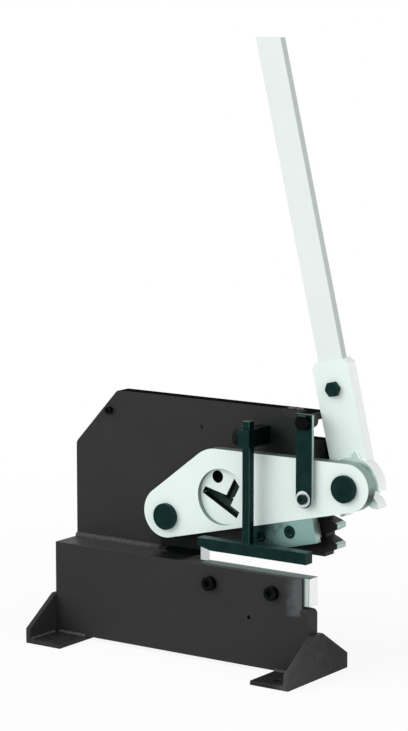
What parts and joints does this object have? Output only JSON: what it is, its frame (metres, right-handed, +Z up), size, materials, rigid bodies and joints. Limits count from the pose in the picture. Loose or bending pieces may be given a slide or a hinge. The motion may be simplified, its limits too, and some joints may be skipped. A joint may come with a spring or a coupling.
{
  "type": "profile shear",
  "caption": "Hand lever shear on two bolted feet: a pivoting jaw with a blade and profile die, driven by a pinion lever on a toothed frame plate, with a hold-down bar.",
  "frame": {"origin": "middle of the four foot holes, on the floor plane under the feet", "axes": "+Z up, -Y towards the person who pulls the lever, +X towards the lever's side"},
  "size_m": [0.5083, 0.1563, 0.8459],
  "materials": {
    "frame_paint": "dark grey satin paint",
    "lever_paint": "near white satin paint",
    "black_steel": "black oxide steel",
    "blade_steel": "ground tool steel",
    "bright_steel": "plain bright steel"
  },
  "bodies": {
    "frame": {"base_plate": "frame_paint", "spacer_block": "frame_paint", "frame_plate": "frame_paint", "weld_beads": "frame_paint", "left_foot": "frame_paint", "right_foot": "frame_paint", "lower_blade": "blade_steel", "lower_blade_screws": "black_steel", "fixed_die": "blade_steel", "fixed_die_screws": "black_steel", "frame_bolts": "black_steel", "jaw_pivot_pin": "black_steel", "jaw_thrust_washer": "bright_steel", "jaw_pivot_washer": "bright_steel", "jaw_pivot_nut": "black_steel", "stop_bracket": "frame_paint", "bracket_screws": "black_steel", "guide_strap": "black_steel", "strap_bolt": "black_steel", "guide_screw": "black_steel", "guide_washer": "bright_steel", "guide_pad": "bright_steel", "hold_down_arm": "black_steel", "arm_screws": "black_steel", "frame_screw": "black_steel"},
    "jaw": {"jaw": "lever_paint", "jaw_bush": "bright_steel", "upper_blade": "blade_steel", "upper_blade_screws": "black_steel", "moving_die": "lever_paint", "die_pin": "blade_steel", "lever_pin": "black_steel", "lever_thrust_washer": "bright_steel", "lever_pin_washer": "bright_steel", "lever_pin_nut": "black_steel"},
    "lever": {"lever_socket": "lever_paint", "lever_bush": "bright_steel", "lever_bar": "lever_paint", "clamp_bolt": "black_steel", "clamp_nut": "black_steel"},
    "hold_down": {"hold_down_rod": "black_steel", "hold_down_bar": "black_steel", "bar_screw": "black_steel"},
    "clamp_screw": {"clamp_screw": "black_steel"}
  },
  "joints": [
    {"name": "jaw_swing", "type": "hinge", "parent": "frame", "child": "jaw", "pos_m": [-0.04, 0.024, 0.188], "axis": [0, 1, 0], "range_deg": [0, 10.6]},
    {"name": "lever_swing", "type": "hinge", "parent": "jaw", "child": "lever", "pos_m": [0.24891, 0.046, 0.25896], "axis": [0, 1, 0], "range_deg": [0, 72]},
    {"name": "hold_down_slide", "type": "slide", "parent": "frame", "child": "hold_down", "axis": [0, 0, 1], "range_m": [-0.0195, 0.02]},
    {"name": "clamp_turn", "type": "hinge", "parent": "frame", "child": "clamp_screw", "pos_m": [0.095, -0.005, 0.316], "axis": [1, 0, 0], "range_deg": [-90, 90]}
  ],
  "couplings": [
    {"joint": "lever_swing", "follows": "jaw_swing", "ratio": 6.7778}
  ]
}
